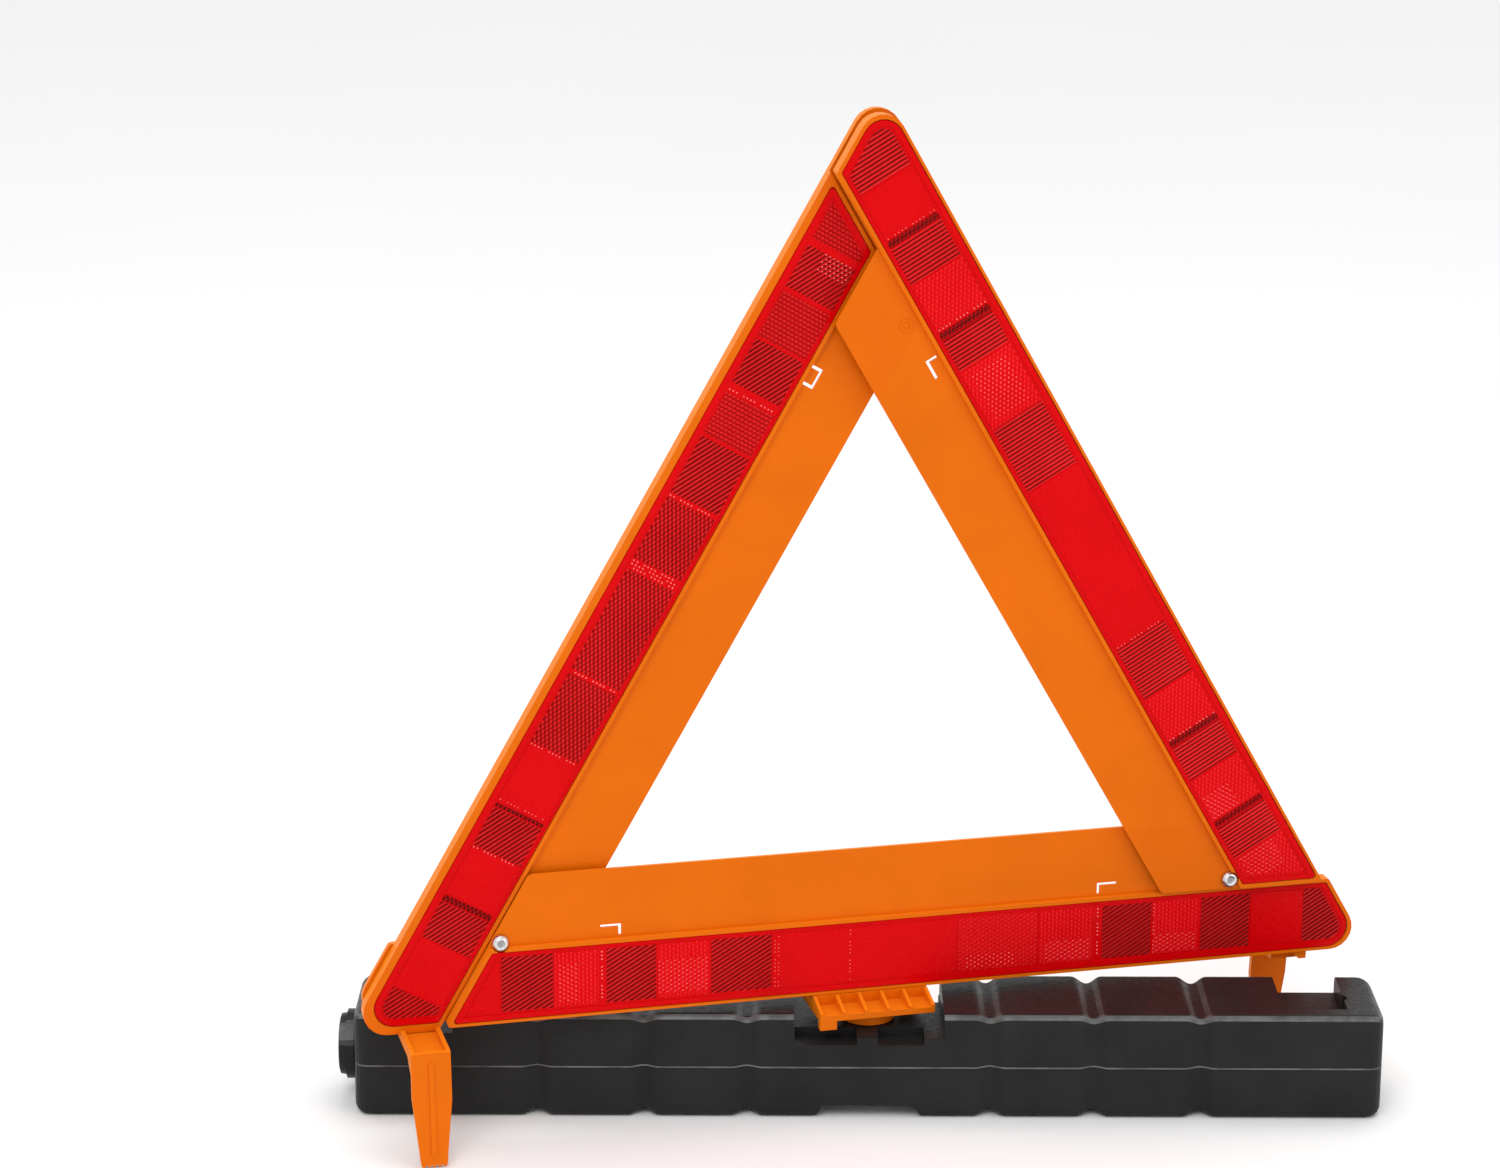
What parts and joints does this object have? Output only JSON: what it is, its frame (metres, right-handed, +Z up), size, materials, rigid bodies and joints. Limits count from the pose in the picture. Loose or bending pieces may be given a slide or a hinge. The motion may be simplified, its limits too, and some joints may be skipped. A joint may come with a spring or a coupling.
{
  "type": "warning triangle",
  "caption": "Folding roadside warning triangle with red reflector arms, orange webs, fold rivets, two feet and a weighted swivel base.",
  "frame": {"origin": "floor level under the swivel axis, at the centre of the base's underside", "axes": "+X along the crossbar to the right, +Z up, the front of the triangle faces -Y; the base stands turned 14.1 degrees about +Z against the crossbar"},
  "size_m": [0.4292, 0.1482, 0.4144],
  "materials": {
    "base_black": "satin blow-moulded",
    "cap_black": "satin",
    "sand": "loose grains",
    "orange": "glossy, slightly see-through where thin",
    "reflector": "clear red over moulded prisms",
    "zinc": "zinc plated"
  },
  "bodies": {
    "base": {"base_shell": "base_black", "sand_ballast": "sand", "filler_cap": "cap_black"},
    "crossbar": {"crossbar_panel": "orange", "crossbar_lens_front": "reflector", "crossbar_lens_back": "reflector", "swivel_bracket": "orange", "pivot_screw": "zinc", "pivot_washer": "zinc", "left_foot": "orange", "right_foot": "orange", "rivet_left": "zinc", "rivet_left_washer": "zinc", "rivet_right": "zinc"},
    "left_arm": {"left_arm_panel": "orange", "left_arm_lens_front": "reflector", "left_arm_lens_back": "reflector"},
    "right_arm": {"right_arm_panel": "orange", "right_arm_lens_front": "reflector", "right_arm_lens_back": "reflector"}
  },
  "joints": [
    {"name": "base_swivel", "type": "hinge", "parent": "base", "child": "crossbar", "pos_m": [0, 0, 0.0353], "axis": [0, 0, 1], "range_deg": [-14.1, 75.9]},
    {"name": "left_arm_fold", "type": "hinge", "parent": "crossbar", "child": "left_arm", "pos_m": [-0.15472, 0.0043, 0.082], "axis": [0, 1, 0], "range_deg": [0, 60]},
    {"name": "right_arm_fold", "type": "hinge", "parent": "crossbar", "child": "right_arm", "pos_m": [0.15617, -0.0043, 0.0845], "axis": [0, -1, 0], "range_deg": [0, 60]}
  ]
}
